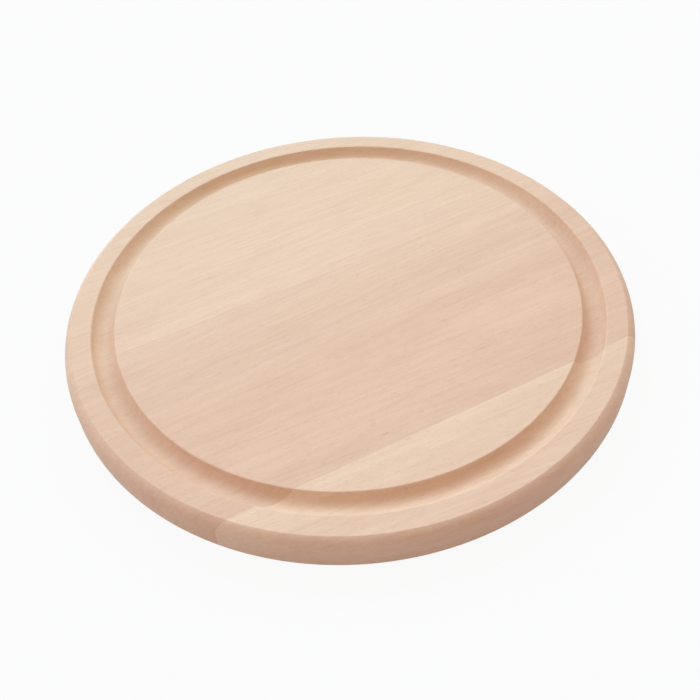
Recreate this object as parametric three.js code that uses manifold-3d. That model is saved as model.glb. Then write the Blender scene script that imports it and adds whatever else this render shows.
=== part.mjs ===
// A round cutting board, glued edge to edge from three beech staves, with a juice groove.
// Millimetres, +Z up. The origin is the centre of the underside, and +X runs along the grain.

import * as THREE from 'three';
import { mergeVertices } from 'three/addons/utils/BufferGeometryUtils.js';
import Module from 'manifold-3d';

// Board
const BOARD_DIAMETER = 300;
const BOARD_THICKNESS = 20;
const TOP_EDGE_ROUND = 5;
const BOTTOM_EDGE_ROUND = 5;

// Juice groove, milled with a round-nosed cutter
const RIM_WIDTH = 15;
const GROOVE_WIDTH = 12;
const GROOVE_DEPTH = 5;
const GROOVE_EASING = 0.8;

// Staves and the glue lines between them, counted from the front of the board
const FRONT_STAVE_WIDTH = 54;
const MIDDLE_STAVE_WIDTH = 118;
const GLUE_THICKNESS = 0.15;

// Facets of the turned outline and of the small arcs in its section
const TURN_FACET_DEG = 3;
const ARC_FACET_DEG = 15;

// How far the sawing slabs reach past the board on every side
const SAW_ALLOWANCE = 10;

// Worked out from the dimensions above
const boardRadius = BOARD_DIAMETER / 2;
const grooveCentre = boardRadius - RIM_WIDTH - GROOVE_WIDTH / 2;
const frontJoint = -boardRadius + FRONT_STAVE_WIDTH;
const rearJoint = frontJoint + MIDDLE_STAVE_WIDTH;
const halfGlue = GLUE_THICKNESS / 2;

// Points of an arc about (r, z), from one angle to another in degrees, both ends included
function arc(r, z, radius, fromDeg, toDeg) {
  const steps = Math.max(1, Math.ceil(Math.abs(toDeg - fromDeg) / ARC_FACET_DEG - 1e-6));
  const points = [];
  for (let i = 0; i <= steps; i += 1) {
    const angle = THREE.MathUtils.degToRad(fromDeg + ((toDeg - fromDeg) * i) / steps);
    points.push(new THREE.Vector2(r + radius * Math.cos(angle), z + radius * Math.sin(angle)));
  }
  return points;
}

// The groove's section from the rim to the disc: the cutter's arc between two eased edges.
// Each easing arc lies in the wood and touches both the flat top and the cutter's circle.
function grooveSection() {
  const cutterRadius = GROOVE_WIDTH ** 2 / (8 * GROOVE_DEPTH) + GROOVE_DEPTH / 2;
  const cutterHeight = BOARD_THICKNESS - GROOVE_DEPTH + cutterRadius;
  const easingHeight = BOARD_THICKNESS - GROOVE_EASING;
  const rise = cutterHeight - easingHeight;
  const reach = Math.sqrt((cutterRadius + GROOVE_EASING) ** 2 - rise ** 2);
  const tilt = THREE.MathUtils.radToDeg(Math.atan2(rise, reach));
  const outerEdge = arc(grooveCentre + reach, easingHeight, GROOVE_EASING, 90, 180 - tilt);
  const cove = arc(grooveCentre, cutterHeight, cutterRadius, -tilt, tilt - 180);
  const innerEdge = arc(grooveCentre - reach, easingHeight, GROOVE_EASING, tilt, 90);
  return [...outerEdge, ...cove.slice(1, -1), ...innerEdge];
}

// The board's section, from the middle of the underside round the edge to the middle of the top
function boardSection() {
  const bottomRound = arc(boardRadius - BOTTOM_EDGE_ROUND, BOTTOM_EDGE_ROUND, BOTTOM_EDGE_ROUND, -90, 0);
  const topRound = arc(boardRadius - TOP_EDGE_ROUND, BOARD_THICKNESS - TOP_EDGE_ROUND, TOP_EDGE_ROUND, 0, 90);
  return [
    new THREE.Vector2(0, 0),
    ...bottomRound,
    ...topRound,
    ...grooveSection(),
    new THREE.Vector2(0, BOARD_THICKNESS),
  ];
}

const wasm = await Module();
wasm.setup();

// A closed geometry as a solid that can be cut
function toSolid(geometry) {
  geometry.deleteAttribute('normal');
  geometry.deleteAttribute('uv');
  const merged = mergeVertices(geometry);
  const corners = merged.index.array;
  const triangles = [];
  for (let i = 0; i < corners.length; i += 3) {
    const [a, b, c] = corners.slice(i, i + 3);
    if (a !== b && b !== c && c !== a) triangles.push(a, b, c);
  }
  const vertProperties = merged.attributes.position.array;
  const triVerts = new Uint32Array(triangles);
  return new wasm.Manifold(new wasm.Mesh({ numProp: 3, vertProperties, triVerts }));
}

function toGeometry(solid) {
  const mesh = solid.getMesh();
  const geometry = new THREE.BufferGeometry();
  geometry.setAttribute('position', new THREE.BufferAttribute(mesh.vertProperties, mesh.numProp));
  geometry.setIndex(new THREE.BufferAttribute(mesh.triVerts, 1));
  geometry.computeVertexNormals();
  return geometry;
}

// The whole board, turned about the vertical axis before it is sawn into its pieces
function turnedBoard() {
  const lathe = new THREE.LatheGeometry(boardSection(), Math.ceil(360 / TURN_FACET_DEG));
  lathe.rotateX(Math.PI / 2);
  return toSolid(lathe);
}

// A slab across the whole board between two places on the Y axis
function slab(fromY, toY) {
  const endX = boardRadius + SAW_ALLOWANCE;
  const outline = new THREE.Shape([
    new THREE.Vector2(-endX, fromY),
    new THREE.Vector2(endX, fromY),
    new THREE.Vector2(endX, toY),
    new THREE.Vector2(-endX, toY),
  ]);
  const depth = BOARD_THICKNESS + 2 * SAW_ALLOWANCE;
  const block = new THREE.ExtrudeGeometry(outline, { depth, bevelEnabled: false });
  block.translate(0, 0, -SAW_ALLOWANCE);
  return toSolid(block);
}

function beech(colour) {
  return new THREE.MeshStandardMaterial({ color: colour, roughness: 0.62, metalness: 0 });
}

function curedGlue() {
  return new THREE.MeshStandardMaterial({ color: 0xc79f78, roughness: 0.5, metalness: 0 });
}

const frontEnd = -boardRadius - SAW_ALLOWANCE;
const rearEnd = boardRadius + SAW_ALLOWANCE;
const pieces = [
  { name: 'stave_front', fromY: frontEnd, toY: frontJoint - halfGlue, material: beech(0xe9ceb7) },
  { name: 'glue_line_front', fromY: frontJoint - halfGlue, toY: frontJoint + halfGlue, material: curedGlue() },
  { name: 'stave_middle', fromY: frontJoint + halfGlue, toY: rearJoint - halfGlue, material: beech(0xe5c8b1) },
  { name: 'glue_line_rear', fromY: rearJoint - halfGlue, toY: rearJoint + halfGlue, material: curedGlue() },
  { name: 'stave_rear', fromY: rearJoint + halfGlue, toY: rearEnd, material: beech(0xead2bb) },
];

const board = turnedBoard();
const cuttingBoard = new THREE.Group();
cuttingBoard.name = 'cutting_board';
for (const { name, fromY, toY, material } of pieces) {
  const mesh = new THREE.Mesh(toGeometry(board.intersect(slab(fromY, toY))), material);
  mesh.name = name;
  cuttingBoard.add(mesh);
}

export default cuttingBoard;
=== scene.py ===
# %% [markdown]
# # A round beech cutting board
# The real board is three planks of beech, called staves, glued edge to edge, turned to a disc, milled
# with a juice groove and sanded. Nothing is painted or oiled, so what the eye reads is the shape of the
# edges and the figure of the wood. The CAD model gives the board's sizes. This lesson makes the same five
# pieces as fine surfaces and grows one solid block of procedural wood through each stave.

# %% Load the frame
import math

import bpy
import numpy as np
from mathutils import Matrix, Vector


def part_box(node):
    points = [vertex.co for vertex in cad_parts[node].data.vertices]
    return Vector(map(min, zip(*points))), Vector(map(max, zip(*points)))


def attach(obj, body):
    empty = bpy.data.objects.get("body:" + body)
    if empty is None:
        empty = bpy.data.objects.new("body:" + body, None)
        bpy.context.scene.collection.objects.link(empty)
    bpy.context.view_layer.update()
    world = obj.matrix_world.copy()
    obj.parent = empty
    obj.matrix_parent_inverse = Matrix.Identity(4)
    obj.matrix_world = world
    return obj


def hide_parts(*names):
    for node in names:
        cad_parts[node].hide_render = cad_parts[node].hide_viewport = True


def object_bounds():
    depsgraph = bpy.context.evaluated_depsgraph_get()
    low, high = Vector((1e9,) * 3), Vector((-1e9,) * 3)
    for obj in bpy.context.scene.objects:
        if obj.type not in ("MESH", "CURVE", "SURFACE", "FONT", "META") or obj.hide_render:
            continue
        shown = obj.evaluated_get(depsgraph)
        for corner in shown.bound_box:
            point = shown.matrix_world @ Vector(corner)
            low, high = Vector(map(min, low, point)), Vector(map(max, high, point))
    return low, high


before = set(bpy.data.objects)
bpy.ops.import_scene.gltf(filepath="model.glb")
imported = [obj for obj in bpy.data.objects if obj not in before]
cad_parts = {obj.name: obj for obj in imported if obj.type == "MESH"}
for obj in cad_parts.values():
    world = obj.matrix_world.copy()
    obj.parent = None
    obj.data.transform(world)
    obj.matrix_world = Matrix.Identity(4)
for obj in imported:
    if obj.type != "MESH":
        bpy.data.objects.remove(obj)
cad_low, cad_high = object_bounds()
print("CAD box:", [round(v, 4) for v in cad_high - cad_low], "m; nodes:", sorted(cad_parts))

# %% [markdown]
# ## Sizes
# Most sizes come from the frame: the board's radius and thickness are its box, and the two glue lines
# show where the staves meet. The groove and the bottom edge can't be read from a box, so they are named
# here, in metres, with the values that the construction uses. The top edge is this scene's own form. The
# CAD model rounds it like the bottom one. The real one looks as if it was swept with a larger cutter
# before the rim was sanded flat: a fine crease is left where the two meet.

# %% Sizes of the board
MM = 0.001
RIM_WIDTH = 15 * MM
GROOVE_WIDTH = 12 * MM
GROOVE_DEPTH = 5 * MM
GROOVE_EASING = 0.8 * MM
BOTTOM_ROUND = 5 * MM
EDGE_SWEEP = 8 * MM
RIM_INSET = 4.6 * MM
CREASE_EASING = 0.4 * MM

board_radius = (cad_high.x - cad_low.x) / 2
thickness = cad_high.z - cad_low.z
groove_centre = board_radius - RIM_WIDTH - GROOVE_WIDTH / 2
front_glue = [corner.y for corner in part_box("glue_line_front")]
rear_glue = [corner.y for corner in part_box("glue_line_rear")]
print("radius", round(board_radius, 4), "thickness", round(thickness, 4))
print("joints at y", round(sum(front_glue) / 2, 4), "and", round(sum(rear_glue) / 2, 4))

# %% [markdown]
# ## The section that the lathe and the cutter leave
# Cut the board through its middle and every piece shows a part of one outline: flat disc, eased lip,
# round groove, eased lip, flat rim, crease, swept edge, wall, rounded bottom edge, flat underside. A
# bevel modifier could round a rough outline, but the real shape is made of arcs that touch each other, so
# the arcs are worked out here. A guard ring lies close to each arc on the flat faces, which keeps the
# shading of those faces flat.

# %% Arcs of the section
LIP_STEPS = 8
COVE_STEPS = 36
CREASE_STEPS = 4
ROUND_STEPS = 14


def arc(centre_r, centre_z, radius, from_deg, to_deg, steps):
    """Arc: centre + radius * (cos a, sin a), with a running evenly between the two angles."""
    angle = np.radians(np.linspace(from_deg, to_deg, steps + 1))
    return np.column_stack((centre_r + radius * np.cos(angle), centre_z + radius * np.sin(angle)))


def groove_outline():
    """Lip, cove, lip: the cutter's circle of radius w^2/8d + d/2, for a groove of width w and depth d, and a
    small circle on each side that touches both the cutter's circle and the flat top."""
    cutter = GROOVE_WIDTH**2 / (8 * GROOVE_DEPTH) + GROOVE_DEPTH / 2
    cutter_height = thickness - GROOVE_DEPTH + cutter
    lip_height = thickness - GROOVE_EASING
    rise = cutter_height - lip_height
    reach = math.sqrt((cutter + GROOVE_EASING) ** 2 - rise**2)
    tilt = math.degrees(math.atan2(rise, reach))
    inner_lip = arc(groove_centre - reach, lip_height, GROOVE_EASING, 90, tilt, LIP_STEPS)
    cove = arc(groove_centre, cutter_height, cutter, tilt - 180, -tilt, COVE_STEPS)
    outer_lip = arc(groove_centre + reach, lip_height, GROOVE_EASING, 180 - tilt, 90, LIP_STEPS)
    return np.concatenate((inner_lip, cove[1:-1], outer_lip))


def top_edge_outline():
    """Crease and sweep: a circle of radius s that touches the wall and would meet the flat top a distance i
    in from the wall, at the angle arccos(1 - i / s), and a small circle that touches it and the top."""
    meeting = math.acos(1 - RIM_INSET / EDGE_SWEEP)
    sweep_centre = board_radius - EDGE_SWEEP
    sweep_height = thickness - EDGE_SWEEP * math.sin(meeting)
    crease_height = thickness - CREASE_EASING
    rise = crease_height - sweep_height
    reach = math.sqrt((EDGE_SWEEP - CREASE_EASING) ** 2 - rise**2)
    tilt = math.degrees(math.atan2(rise, reach))
    crease = arc(sweep_centre + reach, crease_height, CREASE_EASING, 90, tilt, CREASE_STEPS)
    sweep = arc(sweep_centre, sweep_height, EDGE_SWEEP, tilt, 0, ROUND_STEPS)
    return np.concatenate((crease, sweep[1:]))


groove = groove_outline()
top_edge = top_edge_outline()
foot_radius = board_radius - BOTTOM_ROUND
bottom_round = arc(foot_radius, BOTTOM_ROUND, BOTTOM_ROUND, 0, -90, ROUND_STEPS)
print("groove:", len(groove), "points, floor at", round(float(groove[:, 1].min()), 5), "m")
print("top edge:", len(top_edge), "points, from radius", round(float(top_edge[0, 0]), 5), "m out")

# %% [markdown]
# ## A slice of the turned board
# A stave is the part of the turned board between two upright planes. It could be cut with a boolean, but
# that leaves long thin triangles in the groove. Here each ring of the section is swept only as far as the
# planes allow: on a ring of radius r, a plane at y is met where the angle is arcsin(y / r). The right
# half is worked out as a grid, the left half is its mirror image, and points that fall together are
# welded.

# %% Rings of one slice
DISC_RINGS = 40
RIM_RINGS = 6
WALL_STEPS = 6
GUARD = 0.12 * MM


def at_height(radii, height):
    """A flat stretch of the section: the given radii, all at one height."""
    return np.column_stack((radii, np.full(len(radii), height)))


def slice_outline(cuts, nearest):
    """The section from the slice's nearest ring on top, over the edge and back to that ring underneath.

    Each cut's distance from the centre gets a ring of its own, so that the plane is met exactly there."""
    disc = np.union1d(np.linspace(0, groove[0, 0] - GUARD, DISC_RINGS), cuts)
    under = np.union1d(np.linspace(0, foot_radius - GUARD, DISC_RINGS), cuts)
    rim = np.linspace(groove[-1, 0] + GUARD, top_edge[0, 0] - GUARD, RIM_RINGS)
    wall_z = np.linspace(top_edge[-1, 1], BOTTOM_ROUND, WALL_STEPS + 1)[1:-1]
    wall = np.column_stack((np.full(len(wall_z), board_radius), wall_z))
    top = (at_height(disc[disc >= nearest], thickness), groove, at_height(rim, thickness), top_edge)
    return np.concatenate((*top, wall, bottom_round, at_height(under[under >= nearest][::-1], 0.0)))


print("rings of a slice through the centre:", len(slice_outline([], 0.0)))

# %% Sweep the rings between the two planes
STEP_ALONG_EDGE = 1.2 * MM
WELD = 1e-5 * MM
TINY = 1e-12


def half_grid(outline, low_y, high_y):
    """Right half: points (r cos a, r sin a, z), with a from arcsin(low_y / r) to arcsin(high_y / r)."""
    radius = outline[:, :1]
    low = np.arcsin(np.clip(low_y / np.maximum(radius, TINY), -1, 1))
    high = np.arcsin(np.clip(high_y / np.maximum(radius, TINY), -1, 1))
    edge_length = board_radius * float(np.max((high - low)[radius == board_radius]))
    share = np.linspace(0, 1, max(2, math.ceil(edge_length / STEP_ALONG_EDGE) + 1))
    angle = low + (high - low) * share
    height = np.broadcast_to(outline[:, 1:], angle.shape)
    return np.stack((radius * np.cos(angle), radius * np.sin(angle), height), axis=-1)


def grid_faces(index):
    """Four-cornered faces between neighbouring rings and columns of a grid of point numbers."""
    corners = (index[:-1, :-1], index[1:, :-1], index[1:, 1:], index[:-1, 1:])
    return np.stack(corners, axis=-1).reshape(-1, 4)


def joint_loop(right, left, radius, column, distance):
    """Point numbers round one sawn face: out along the right half's column and back along the left's."""
    rows = np.flatnonzero(radius >= distance - WELD)
    return np.concatenate((right[rows, column], left[rows[::-1], column][1:-1]))


print("weld distance", WELD, "m, step along the edge", STEP_ALONG_EDGE, "m")

# %% Weld a slice into one closed mesh
MIRROR = (-1, 1, 1)


def turned_slice(name, low_y, high_y):
    """The part of the turned board between the planes y = low_y and y = high_y, as a new object."""
    cuts = [abs(y) for y in (low_y, high_y) if abs(y) < board_radius - WELD]
    nearest = 0.0 if low_y < 0 < high_y else min(cuts)
    outline = slice_outline(cuts, nearest)
    grid = half_grid(outline, low_y, high_y)
    points = np.concatenate((grid.reshape(-1, 3), (grid * MIRROR).reshape(-1, 3)))
    _, first, number = np.unique(np.round(points / WELD), axis=0, return_index=True, return_inverse=True)
    right, left = number.reshape(2, *grid.shape[:2])
    faces = np.concatenate((grid_faces(right), grid_faces(left)[:, ::-1]))
    loops = []
    if low_y > -board_radius + WELD:
        loops.append(joint_loop(right, left, outline[:, 0], 0, abs(low_y))[::-1])
    if high_y < board_radius - WELD:
        loops.append(joint_loop(right, left, outline[:, 0], -1, abs(high_y)))
    return solid_object(name, points[first], faces, loops)


def without_repeats(faces):
    """Four corners for most faces, and three where one ring of the face has shrunk to a point."""
    point_first = faces[:, 0] == faces[:, 3]
    point_last = faces[:, 1] == faces[:, 2]
    whole = faces[~point_first & ~point_last]
    return whole.tolist() + faces[point_first][:, :3].tolist() + faces[point_last][:, (0, 1, 3)].tolist()


def solid_object(name, points, faces, loops):
    """An object with smooth turned faces, flat sawn faces and a sharp edge round each sawn face."""
    mesh = bpy.data.meshes.new(name)
    sawn = [loop.tolist() for loop in loops]
    mesh.from_pydata(points.tolist(), [], without_repeats(faces) + sawn)
    mesh.shade_smooth()
    ends = np.empty(2 * len(mesh.edges), dtype=np.int32)
    mesh.edges.foreach_get("vertices", ends)
    ends = ends.reshape(-1, 2)
    sharp = np.any([np.isin(ends, loop).all(axis=1) for loop in loops], axis=0)
    mesh.attributes.new("sharp_edge", "BOOLEAN", "EDGE").data.foreach_set("value", sharp)
    piece = bpy.data.objects.new(name, mesh)
    bpy.context.scene.collection.objects.link(piece)
    print(name, len(mesh.vertices), "points", len(mesh.polygons), "faces")
    return piece


print("left half: the right half times", MIRROR)

# %% [markdown]
# ## Three staves and two films of glue
# Each piece takes its planes from the CAD boxes of the glue lines, so the pieces meet face to face as the
# real ones do. The films are slices too: they follow the groove and the rounded edge just as the staves
# do.

# %% Make the five pieces
front_stave = turned_slice("front_stave", -board_radius, front_glue[0])
front_film = turned_slice("front_glue_film", *front_glue)
middle_stave = turned_slice("middle_stave", front_glue[1], rear_glue[0])
rear_film = turned_slice("rear_glue_film", *rear_glue)
rear_stave = turned_slice("rear_stave", rear_glue[1], board_radius)

# %% Tie the pieces to the frame
dressed = (
    (front_stave, "stave_front", "beech_front"),
    (front_film, "glue_line_front", "wood_glue"),
    (middle_stave, "stave_middle", "beech_middle"),
    (rear_film, "glue_line_rear", "wood_glue"),
    (rear_stave, "stave_rear", "beech_rear"),
)
for piece, node, slot in dressed:
    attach(piece, "root")
    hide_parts(node)
print("pieces on the frame:", [piece.name for piece, _, _ in dressed])

# %% [markdown]
# ## Helpers for shader nodes
# Wood needs many small sums, and a few helpers keep them readable. One adds a node and fills its inputs
# with numbers or with the outputs of other nodes. Four more each do one kind of sum or mix with it. The
# last two make a group with named inputs and outputs, and place such a group in another tree.

# %% Node helpers


def add(tree, kind, inputs, **settings):
    """A new node: settings are its own choices, inputs are numbers or sockets, by name or by place."""
    node = tree.nodes.new("ShaderNode" + kind)
    for name, value in settings.items():
        setattr(node, name, value)
    for key, value in inputs.items():
        if isinstance(value, bpy.types.NodeSocket):
            tree.links.new(value, node.inputs[key])
        else:
            node.inputs[key].default_value = value
    return node


def maths(tree, operation, *inputs):
    """The result of one Math node."""
    return add(tree, "Math", dict(enumerate(inputs)), operation=operation).outputs[0]


def vector_maths(tree, operation, first, second):
    """The result of one Vector Math node. For SCALE the second input is a number."""
    inputs = {0: first, "Scale" if operation == "SCALE" else 1: second}
    return add(tree, "VectorMath", inputs, operation=operation).outputs[0]


def ramp(tree, value, from_min, from_max, to_min=0.0, to_max=1.0):
    """A smooth step: to_min below from_min, to_max above from_max."""
    inputs = {0: value, 1: from_min, 2: from_max, 3: to_min, 4: to_max}
    return add(tree, "MapRange", inputs, interpolation_type="SMOOTHSTEP").outputs[0]


def mix_colour(tree, factor, first, second, mode="MIX"):
    """Two colours mixed: 0 gives the first, 1 the second, and the line runs on past these factors."""
    inputs = {0: factor, 6: first, 7: second}
    return add(tree, "Mix", inputs, data_type="RGBA", blend_type=mode, clamp_factor=False).outputs[2]


def new_group(name, inputs, outputs):
    """An empty node group with named sockets, and its input and output nodes."""
    tree = bpy.data.node_groups.new(name, "ShaderNodeTree")
    for direction, sockets in (("INPUT", inputs), ("OUTPUT", outputs)):
        for socket, kind in sockets.items():
            tree.interface.new_socket(socket, in_out=direction, socket_type="NodeSocket" + kind)
    print("node group:", name, "gives", list(outputs))
    return tree, tree.nodes.new("NodeGroupInput").outputs, tree.nodes.new("NodeGroupOutput").inputs


def place(tree, group, **inputs):
    """A copy of a node group in another tree. Spaces in the socket names are written as underscores."""
    named = {name.replace("_", " "): value for name, value in inputs.items()}
    return add(tree, "Group", named, node_tree=group).outputs


helpers = (add, maths, vector_maths, ramp, mix_colour, new_group, place)
print("node helpers:", [helper.__name__ for helper in helpers])

# %% [markdown]
# ## Where a point lies in the tree
# A stave was once part of a log, and everything that shows in wood follows the log: fibres run along it,
# growth rings lie round the pith, and rays are thin sheets that run out from it. So the first group turns
# a point of the board into log coordinates: its place with the bends of the fibres taken out, how far it
# lies from the pith, and at which turn about it. The fibres spread a little from a middle line, and noise
# makes them wander, as trees do. All three staves were sawn with the pith low and to one side, so the
# rings cross the board as long lines. Because this is worked out in space, the figure runs on through the
# groove and round the edge by itself.

# %% Log coordinates
WANDER_SIZE = 3.5 * MM
WANDER_STRETCH = (5.0, 9.0, 9.0)
WANDER_DETAIL = 1.0
NOISE_MEAN = (0.5, 0.5, 0.5)

log_place, given, result = new_group(
    "Log Coordinates",
    {"Position": "Vector", "Middle Y": "Float", "Spread": "Float", "Pith Aside": "Float",
     "Pith Depth": "Float"},
    {"Straight": "Vector", "Radius": "Float", "Turn": "Float"},
)
pith_offset = add(log_place, "CombineXYZ", {1: given["Pith Aside"], 2: given["Pith Depth"]}).outputs[0]
from_pith = vector_maths(log_place, "ADD", given["Position"], pith_offset)
stretched = vector_maths(log_place, "MULTIPLY", from_pith, WANDER_STRETCH)
wander_noise = {"Vector": stretched, "Scale": 1.0, "Detail": WANDER_DETAIL}
wander = add(log_place, "TexNoise", wander_noise).outputs["Color"]
off_mean = vector_maths(log_place, "SUBTRACT", wander, NOISE_MEAN)
shift = vector_maths(log_place, "SCALE", off_mean, WANDER_SIZE)
unbent = vector_maths(log_place, "ADD", given["Position"], shift)
x, y, z = add(log_place, "SeparateXYZ", {0: unbent}).outputs
girth = maths(log_place, "MULTIPLY_ADD", x, given["Spread"], 1.0)
across = maths(log_place, "DIVIDE", maths(log_place, "SUBTRACT", y, given["Middle Y"]), girth)
aside = maths(log_place, "ADD", across, given["Pith Aside"])
above = maths(log_place, "ADD", z, given["Pith Depth"])
square = maths(log_place, "MULTIPLY_ADD", above, above, maths(log_place, "MULTIPLY", aside, aside))
straight = add(log_place, "CombineXYZ", {0: x, 1: aside, 2: above}).outputs[0]
log_place.links.new(straight, result["Straight"])
log_place.links.new(maths(log_place, "SQRT", square), result["Radius"])
log_place.links.new(maths(log_place, "ARCTAN2", aside, above), result["Turn"])

# %% [markdown]
# ## Growth rings
# Each year adds a band of pale early wood that ends in a thin darker line. No two years are equal, so the
# count of rings is pushed about by noise, and each ring has a tone of its own.

# %% Growth rings
UNEVEN_YEARS = 1.6
YEAR_NOISE = 130.0
LATEWOOD_POWER = 5.0
FAINTEST_LINE = 0.4

growth_rings, given, result = new_group(
    "Growth Rings",
    {"Radius": "Float", "Ring Width": "Float"},
    {"Latewood": "Float", "Year": "Float"},
)
even_count = maths(growth_rings, "DIVIDE", given["Radius"], given["Ring Width"])
noise_place = maths(growth_rings, "MULTIPLY", given["Radius"], YEAR_NOISE)
uneven = add(growth_rings, "TexNoise", {"W": noise_place, "Scale": 1.0}, noise_dimensions="1D").outputs[0]
count = maths(growth_rings, "MULTIPLY_ADD", uneven, UNEVEN_YEARS, even_count)
whole_years = maths(growth_rings, "FLOOR", count)
year = add(growth_rings, "TexWhiteNoise", {"W": whole_years}, noise_dimensions="1D").outputs[0]
line = maths(growth_rings, "POWER", maths(growth_rings, "FRACT", count), LATEWOOD_POWER)
latewood = maths(growth_rings, "MULTIPLY", line, maths(growth_rings, "ADD", year, FAINTEST_LINE))
growth_rings.links.new(latewood, result["Latewood"])
growth_rings.links.new(year, result["Year"])

# %% [markdown]
# ## Ray flecks
# Beech is known by its rays: brown sheets a few millimetres high that run out from the pith. Where a face
# cuts them end on they show as short dark dashes along the grain, and on other faces as fainter patches.
# Cells of a Voronoi texture, stretched in log coordinates, give one ray each, and a random value per cell
# gives it its size.

# %% Ray flecks
RAY_LENGTH = 9.0 * MM
RAY_SPACING = 0.8 * MM
RAY_DEPTH = 14 * MM
RAY_PITH_DISTANCE = 250 * MM
SMALLEST_RAY = 0.05
RAY_VARIATION = 0.24
RAY_CORE = 0.4
FLAT_ON_SHARE = 0.3

ray_flecks, given, result = new_group(
    "Ray Flecks",
    {"Straight": "Vector", "Radius": "Float", "Turn": "Float", "Normal": "Vector"},
    {"Fleck": "Float"},
)
along = add(ray_flecks, "SeparateXYZ", {0: given["Straight"]}).outputs[0]
ray_along = maths(ray_flecks, "DIVIDE", along, RAY_LENGTH)
ray_turn = maths(ray_flecks, "MULTIPLY", given["Turn"], RAY_PITH_DISTANCE / RAY_SPACING)
ray_out = maths(ray_flecks, "DIVIDE", given["Radius"], RAY_DEPTH)
ray_place = add(ray_flecks, "CombineXYZ", {0: ray_along, 1: ray_turn, 2: ray_out}).outputs[0]
rays = add(ray_flecks, "TexVoronoi", {"Vector": ray_place, "Scale": 1.0}).outputs
ray_size = maths(ray_flecks, "MULTIPLY_ADD", rays["Color"], RAY_VARIATION, SMALLEST_RAY)
ray_core = maths(ray_flecks, "MULTIPLY", ray_size, RAY_CORE)
spot = ramp(ray_flecks, rays["Distance"], ray_core, ray_size, 1.0, 0.0)
outward = add(ray_flecks, "CombineXYZ", {1: maths(ray_flecks, "SINE", given["Turn"]),
                                         2: maths(ray_flecks, "COSINE", given["Turn"])}).outputs[0]
ray_and_face = {0: outward, 1: given["Normal"]}
facing = add(ray_flecks, "VectorMath", ray_and_face, operation="DOT_PRODUCT").outputs["Value"]
strength = ramp(ray_flecks, maths(ray_flecks, "ABSOLUTE", facing), 0.0, 1.0, FLAT_ON_SHARE, 1.0)
ray_flecks.links.new(maths(ray_flecks, "MULTIPLY", spot, strength), result["Fleck"])

# %% [markdown]
# ## Fibres and pores
# Between the rays the wood is not one colour: bundles of fibre run for centimetres along the grain, and
# thousands of fine pores open on the surface as short scratches. Both are noise, stretched along the
# grain.

# %% Fibres and pores
FIBRE_STRETCH = (40.0, 480.0, 480.0)
CLOUD_STRETCH = (7.0, 60.0, 60.0)
PORE_STRETCH = (330.0, 5200.0, 5200.0)
PORE_RANGE = (0.62, 0.72)
FIBRE_DETAIL = 2.0
CLOUD_DETAIL = 3.0
PORE_DETAIL = 1.0

fibres, given, result = new_group(
    "Fibres and Pores",
    {"Straight": "Vector"},
    {"Fibre": "Float", "Cloud": "Float", "Pore": "Float"},
)


def stretched_noise(stretch, detail):
    """Noise of the straightened place, which is first multiplied by a stretch along each axis."""
    vector = vector_maths(fibres, "MULTIPLY", given["Straight"], stretch)
    return add(fibres, "TexNoise", {"Vector": vector, "Scale": 1.0, "Detail": detail}).outputs[0]


fibres.links.new(stretched_noise(FIBRE_STRETCH, FIBRE_DETAIL), result["Fibre"])
fibres.links.new(stretched_noise(CLOUD_STRETCH, CLOUD_DETAIL), result["Cloud"])
pore_noise = stretched_noise(PORE_STRETCH, PORE_DETAIL)
fibres.links.new(ramp(fibres, pore_noise, *PORE_RANGE), result["Pore"])

# %% [markdown]
# ## Beech
# The last group turns the masks into the finish: a colour, a roughness and a height for the bump. The
# wood's ground colour is multiplied by a tint where its tone is deep. Each mask of the figure pushes that
# tone up or down about the mask's own mean. The milled groove is painted a little darker and warmer than
# the flat faces: painted shade, for the warm shade that falls in it.

# %% The finish of sanded beech
SHARE_AND_MEAN = {
    "Latewood": (0.16, 0.15),
    "Year": (0.07, 0.5),
    "Fibre": (1.0, 0.5),
    "Cloud": (0.85, 0.5),
}
PORE_SHARE = 0.3

beech_finish, given, result = new_group(
    "Sanded Beech",
    {"Ground": "Color", "Deep Tint": "Color", "Fleck Colour": "Color", "Milled Tint": "Color",
     "Contrast": "Float", "Fleck Share": "Float", "Tone": "Float", "Latewood": "Float", "Year": "Float",
     "Fibre": "Float", "Cloud": "Float", "Fleck": "Float", "Pore": "Float", "Position": "Vector"},
    {"Colour": "Color", "Roughness": "Float", "Height": "Float"},
)
tone = given["Tone"]
for mask, (share, mean) in SHARE_AND_MEAN.items():
    off_mean = maths(beech_finish, "SUBTRACT", given[mask], mean)
    away = maths(beech_finish, "MULTIPLY", off_mean, given["Contrast"])
    tone = maths(beech_finish, "MULTIPLY_ADD", away, share, tone)
ground = mix_colour(beech_finish, tone, given["Ground"], given["Deep Tint"], "MULTIPLY")
fleck = maths(beech_finish, "MULTIPLY", given["Fleck"], given["Fleck Share"])
flecked = mix_colour(beech_finish, fleck, ground, given["Fleck Colour"])
pore = maths(beech_finish, "MULTIPLY", given["Pore"], PORE_SHARE)
pored = mix_colour(beech_finish, pore, flecked, given["Fleck Colour"])

# %% Where the groove gets its painted shade
SANDED_DEPTH = 0.1 * MM
MILLED_DEPTH = 1.6 * MM
LEVEL = (1.0, 1.0, 0.0)

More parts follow.
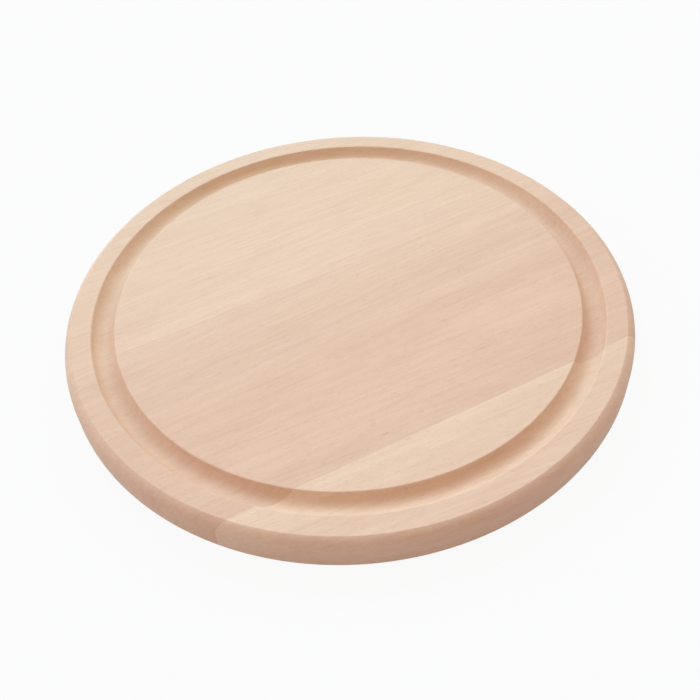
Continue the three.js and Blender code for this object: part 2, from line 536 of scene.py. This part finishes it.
height_up = add(beech_finish, "SeparateXYZ", {0: given["Position"]}).outputs[2]
depth = maths(beech_finish, "SUBTRACT", thickness, height_up)
level_place = vector_maths(beech_finish, "MULTIPLY", given["Position"], LEVEL)
radius = add(beech_finish, "VectorMath", {0: level_place}, operation="LENGTH").outputs["Value"]
below_top = ramp(beech_finish, depth, SANDED_DEPTH, MILLED_DEPTH)
below_floor = (GROOVE_DEPTH + GROOVE_EASING, GROOVE_DEPTH + MILLED_DEPTH)
above_floor = ramp(beech_finish, depth, *below_floor, 1.0, 0.0)
inner_rim = (board_radius - RIM_WIDTH, board_radius - RIM_WIDTH / 2)
within_rim = ramp(beech_finish, radius, *inner_rim, 1.0, 0.0)
milled_depth = maths(beech_finish, "MULTIPLY", below_top, above_floor)
milled = maths(beech_finish, "MULTIPLY", milled_depth, within_rim)
# Painted shade: inside the groove the colour is multiplied by a darker, warmer tint for the shade that falls
# there.
groove_shaded = mix_colour(beech_finish, milled, pored, given["Milled Tint"], "MULTIPLY")
beech_finish.links.new(groove_shaded, result["Colour"])
print("painted groove shade starts", SANDED_DEPTH, "m down and shows in full at", MILLED_DEPTH, "m")

# %% Bump and roughness of the wood
FLECK_HOLLOW = 0.4
FIBRE_RELIEF = 0.8
HOLLOW_TO_RAISED = (-1.2, 1.0)
ROUGH_TO_SMOOTH = (0.72, 0.56)

hollow = maths(beech_finish, "MULTIPLY_ADD", given["Fleck"], FLECK_HOLLOW, given["Pore"])
relief = maths(beech_finish, "MULTIPLY", given["Fibre"], FIBRE_RELIEF)
height = maths(beech_finish, "SUBTRACT", relief, hollow)
beech_finish.links.new(height, result["Height"])
roughness = ramp(beech_finish, height, *HOLLOW_TO_RAISED, *ROUGH_TO_SMOOTH)
beech_finish.links.new(roughness, result["Roughness"])
print("the finish has", len(beech_finish.nodes), "nodes")

# %% [markdown]
# ## One material for each stave
# The three planks come from different boards of timber. The front one is pale and full of flecks, and
# palest beside its joint. The middle one is pinker and darkest beside that same joint, so the joint shows
# as a clear edge. The rear one looks even, and it meets the middle one with only a small change of colour.
# Its colour is painted a little darker towards its rear edge: painted shade against the brighter light
# there.
# So each material places the same groups with its own pith, ring width and colours. Every stave also
# deepens a little towards its ends.

# %% Colours across a stave, tone along it, and one dark mark
DEEPER_ENDS = 13.0
MARK_SIZE = (2.8 * MM, 0.6 * MM, 1.0 * MM)
MARK_CORE = 0.35


def ground_colour(tree, across, edges, colours):
    """Straight lines between pairs of place and colour: 0 is the stave's front edge, 1 its rear edge."""
    place_across = add(tree, "MapRange", {0: across, 1: edges[0], 2: edges[1]}).outputs[0]
    node = add(tree, "ValToRGB", {0: place_across})
    stops = node.color_ramp.elements
    for share, _ in colours[1:-1]:
        stops.new(share)
    for stop, (_, colour) in zip(stops, colours):
        stop.color = (*colour, 1.0)
    return node.outputs[0]


def end_tone(tree, along, palest_x):
    """Tone that grows with the square of the distance from the palest place along the grain."""
    away = maths(tree, "SUBTRACT", along, palest_x)
    return maths(tree, "MULTIPLY", maths(tree, "MULTIPLY", away, away), DEEPER_ENDS)


def dark_mark(tree, position, centre, flecks):
    """The flecks and one more: an ellipsoid with a dark core, which fades out to its surface."""
    away = vector_maths(tree, "DIVIDE", vector_maths(tree, "SUBTRACT", position, centre), MARK_SIZE)
    distance = add(tree, "VectorMath", {0: away}, operation="LENGTH").outputs["Value"]
    return maths(tree, "MAXIMUM", flecks, ramp(tree, distance, MARK_CORE, 1.0, 1.0, 0.0))


print("tone one radius away from the palest place:", round(DEEPER_ENDS * board_radius**2, 2))

# %% Stave materials
BUMP_DEPTH = 0.03 * MM
BUMP_STRENGTH = 0.5
SPECULAR_LEVEL = 0.3
FLECK_BROWN = (0.47, 0.27, 0.165, 1.0)
DEEP_TINT = (0.855, 0.78, 0.73, 1.0)
# The darker, warmer tint of the groove is painted shade.
GROOVE_SHADE_TINT = (0.975, 0.955, 0.925, 1.0)


def stave_material(name, edges, middle_y, spread, pith, ring_width, contrast, fleck_share, palest_x,
                   colours, mark=None):
    """Beech with its own place in its own log, its own colours across the grain and maybe a dark mark."""
    material = bpy.data.materials.new(name)
    material.use_nodes = True
    tree = material.node_tree
    shader = tree.nodes["Principled BSDF"]
    point = add(tree, "TexCoord", {}).outputs
    log = place(tree, log_place, Position=point["Object"], Middle_Y=middle_y, Spread=spread,
                Pith_Aside=pith[0], Pith_Depth=pith[1])
    rings = place(tree, growth_rings, Radius=log["Radius"], Ring_Width=ring_width)
    flecks = place(tree, ray_flecks, Straight=log["Straight"], Radius=log["Radius"], Turn=log["Turn"],
                   Normal=point["Normal"])["Fleck"]
    if mark is not None:
        flecks = dark_mark(tree, point["Object"], mark, flecks)
    fibre = place(tree, fibres, Straight=log["Straight"])
    along, across, _ = add(tree, "SeparateXYZ", {0: point["Object"]}).outputs
    ground = ground_colour(tree, across, edges, colours)
    tone = end_tone(tree, along, palest_x)
    finish = place(tree, beech_finish, Ground=ground, Deep_Tint=DEEP_TINT, Fleck_Colour=FLECK_BROWN,
                   Milled_Tint=GROOVE_SHADE_TINT, Contrast=contrast, Fleck_Share=fleck_share, Tone=tone,
                   Latewood=rings["Latewood"], Year=rings["Year"], Fibre=fibre["Fibre"],
                   Cloud=fibre["Cloud"], Fleck=flecks, Pore=fibre["Pore"], Position=point["Object"])
    relief = {"Height": finish["Height"], "Strength": BUMP_STRENGTH, "Distance": BUMP_DEPTH}
    tree.links.new(add(tree, "Bump", relief).outputs[0], shader.inputs["Normal"])
    tree.links.new(finish["Colour"], shader.inputs["Base Color"])
    tree.links.new(finish["Roughness"], shader.inputs["Roughness"])
    shader.inputs["Specular IOR Level"].default_value = SPECULAR_LEVEL
    print("material:", name, "with", len(tree.nodes), "nodes")
    return material


# %% Give the staves their wood
front_stave.data.materials.append(stave_material(
    "beech_front", edges=(-board_radius, front_glue[0]), middle_y=-50 * MM, spread=1.0,
    pith=(210 * MM, 190 * MM), ring_width=2.6 * MM, contrast=1.05, fleck_share=0.30, palest_x=-60 * MM,
    colours=((0.0, (0.810, 0.601, 0.458)), (0.7, (0.815, 0.614, 0.465)), (1.0, (0.845, 0.655, 0.496)))))
middle_stave.data.materials.append(stave_material(
    "beech_middle", edges=(front_glue[1], rear_glue[0]), middle_y=-45 * MM, spread=0.9,
    pith=(-150 * MM, 200 * MM), ring_width=3.0 * MM, contrast=1.0, fleck_share=0.33, palest_x=-10 * MM,
    colours=((0.0, (0.768, 0.546, 0.404)), (0.2, (0.795, 0.573, 0.430)), (0.7, (0.784, 0.575, 0.434)),
             (1.0, (0.806, 0.604, 0.457))),
    mark=(-26 * MM, -89.5 * MM, thickness)))
# The rear stave's colour is painted darker towards its rear edge: painted shade against the brighter lamp
# light and sheen there.
rear_stave.data.materials.append(stave_material(
    "beech_rear", edges=(rear_glue[1], board_radius), middle_y=80 * MM, spread=-0.5,
    pith=(180 * MM, 130 * MM), ring_width=2.4 * MM, contrast=0.95, fleck_share=0.14, palest_x=0.0,
    colours=((0.0, (0.831, 0.635, 0.482)), (1.0, (0.799, 0.629, 0.468)))))

# %% [markdown]
# ## Glue
# The film in a joint is only a hair wide. Cured wood glue is a tan plastic, sanded flush with the wood.
# One flat colour would look like a drawn line, so the clouds of the group above shift it between a pale
# and a deep tan.

# %% Glue material
GLUE_PALE = (0.74, 0.53, 0.39, 1.0)
GLUE_DEEP = (0.64, 0.43, 0.29, 1.0)
GLUE_ROUGHNESS = 0.5

glue = bpy.data.materials.new("wood_glue")
glue.use_nodes = True
glue_shader = glue.node_tree.nodes["Principled BSDF"]
glue_place = add(glue.node_tree, "TexCoord", {}).outputs["Object"]
glue_fibres = place(glue.node_tree, fibres, Straight=glue_place)
glue_colour = mix_colour(glue.node_tree, glue_fibres["Cloud"], GLUE_PALE, GLUE_DEEP)
glue.node_tree.links.new(glue_colour, glue_shader.inputs["Base Color"])
glue_shader.inputs["Roughness"].default_value = GLUE_ROUGHNESS
for film in (front_film, rear_film):
    film.data.materials.append(glue)
print("glue on", front_film.name, "and", rear_film.name)

# %% [markdown]
# ## Studio
# The board lies on a plain pale floor in soft light. Two large cool lamps behind it light the flat top
# and leave the near walls in shade, two weak low ones lift the sides, and an even warm world fills the
# rest. On the flat top their colours add up to white, so a colour there renders about as it is written.
# To the camera the floor is nearly white by its own material, with enough of its shaded colour mixed in
# to keep a shadow. It lies a hair below the underside, so that the two faces never share a plane.

# %% Floor
FLOOR_HALF = 3.0
FLOOR_DROP = 0.2 * MM
FLOOR_COLOUR = (0.58, 0.61, 0.64, 1.0)
WHITE = (1.0, 1.0, 1.0, 1.0)
WHITE_SHARE = 0.93

floor_mesh = bpy.data.meshes.new("floor")
corners = [(x * FLOOR_HALF, y * FLOOR_HALF, -FLOOR_DROP) for x, y in ((-1, -1), (1, -1), (1, 1), (-1, 1))]
floor_mesh.from_pydata(corners, [], [(0, 1, 2, 3)])
floor = bpy.data.objects.new("floor", floor_mesh)
bpy.context.scene.collection.objects.link(floor)


def seen_share(tree, share):
    """That share for camera, glossy and transmission rays, which show the background, and 0 for others."""
    rays = add(tree, "LightPath", {}).outputs
    seen = maths(tree, "MAXIMUM", rays["Is Camera Ray"], rays["Is Glossy Ray"])
    return maths(tree, "MULTIPLY", maths(tree, "MAXIMUM", seen, rays["Is Transmission Ray"]), share)


floor_material = bpy.data.materials.new("pale_floor")
floor_material.use_nodes = True
floor_tree = floor_material.node_tree
floor_tree.nodes.clear()
matt = add(floor_tree, "BsdfDiffuse", {"Color": FLOOR_COLOUR}).outputs[0]
lit = add(floor_tree, "Emission", {"Color": WHITE, "Strength": 1.0}).outputs[0]
white_share = seen_share(floor_tree, WHITE_SHARE)
floor_mix = add(floor_tree, "MixShader", {0: white_share, 1: matt, 2: lit}).outputs[0]
add(floor_tree, "OutputMaterial", {"Surface": floor_mix})
floor_mesh.materials.append(floor_material)
print("floor:", 2 * FLOOR_HALF, "m square")

# %% World
SKY_COLOUR = (1.0, 0.673, 0.512, 1.0)
SKY_STRENGTH = 0.557
BACKDROP_STRENGTH = 0.97

world = bpy.data.worlds.new("studio")
bpy.context.scene.world = world
world.use_nodes = True
sky_tree = world.node_tree
sky_tree.nodes.clear()
sky = add(sky_tree, "Background", {"Color": SKY_COLOUR, "Strength": SKY_STRENGTH}).outputs[0]
backdrop = add(sky_tree, "Background", {"Color": WHITE, "Strength": BACKDROP_STRENGTH}).outputs[0]
sky_mix = add(sky_tree, "MixShader", {0: seen_share(sky_tree, 1.0), 1: sky, 2: backdrop}).outputs[0]
add(sky_tree, "OutputWorld", {"Surface": sky_mix})
print("world: strength", SKY_STRENGTH)

# %% Lamps
LAMP_DISTANCE = 8.0
LAMP_SIZE = 4.0


def soft_lamp(name, power, azimuth, elevation, colour):
    """A large square lamp at an azimuth from +X and an elevation, in degrees, that faces the board."""
    turn = math.radians(azimuth)
    lift = math.radians(elevation)
    towards = Vector((math.cos(lift) * math.cos(turn), math.cos(lift) * math.sin(turn), math.sin(lift)))
    data = bpy.data.lights.new(name, "AREA")
    data.energy = power
    data.size = LAMP_SIZE
    data.color = colour
    lamp = bpy.data.objects.new(name, data)
    lamp.location = towards * LAMP_DISTANCE
    lamp.rotation_euler = towards.to_track_quat("Z", "Y").to_euler()
    bpy.context.scene.collection.objects.link(lamp)
    print("lamp:", name, power, "W")


soft_lamp("back_left_lamp", power=370.0, azimuth=95.5, elevation=40.0, colour=(0.565, 0.826, 1.0))
soft_lamp("back_right_lamp", power=231.0, azimuth=35.5, elevation=40.0, colour=(0.69, 0.94, 1.0))
soft_lamp("left_lamp", power=165.0, azimuth=155.5, elevation=20.0, colour=(0.73, 0.88, 1.0))
soft_lamp("front_right_lamp", power=44.0, azimuth=-54.5, elevation=20.0, colour=(0.55, 0.75, 1.0))

# %% [markdown]
# ## Camera
# The circles of the disc, the groove and the edge fix the view: how far up the camera stands, how it is
# rolled and how long the lens is. The grain runs at an angle to the picture, so the camera stands a
# little to the left of the board's front.

# %% Camera
LENS_MM = 48.11
SENSOR_MM = 36.0
CAMERA_DISTANCE = 471.5 * MM
CAMERA_ELEVATION = math.radians(47.54)
CAMERA_TURN = math.radians(24.47)
CAMERA_ROLL = math.radians(-4.129)
CLIP_START = 10 * MM
AIM = Vector((-15.9 * MM, -34.5 * MM, thickness))

level = math.cos(CAMERA_ELEVATION)
back_x = -level * math.sin(CAMERA_TURN)
back_y = -level * math.cos(CAMERA_TURN)
back = Vector((back_x, back_y, math.sin(CAMERA_ELEVATION)))
right = Vector((math.cos(CAMERA_TURN), -math.sin(CAMERA_TURN), 0.0))
upright = back.cross(right)
turned_right = math.cos(CAMERA_ROLL) * right + math.sin(CAMERA_ROLL) * upright
turned_up = back.cross(turned_right)
camera_data = bpy.data.cameras.new("camera")
camera_data.lens = LENS_MM
camera_data.sensor_width = SENSOR_MM
camera_data.clip_start = CLIP_START
camera = bpy.data.objects.new("camera", camera_data)
rotation = Matrix((turned_right, turned_up, back)).transposed().to_4x4()
camera.matrix_world = Matrix.Translation(AIM + back * CAMERA_DISTANCE) @ rotation
bpy.context.scene.collection.objects.link(camera)
bpy.context.scene.camera = camera
bpy.context.scene.view_settings.view_transform = "Standard"
print("camera at", [round(v, 4) for v in camera.location])
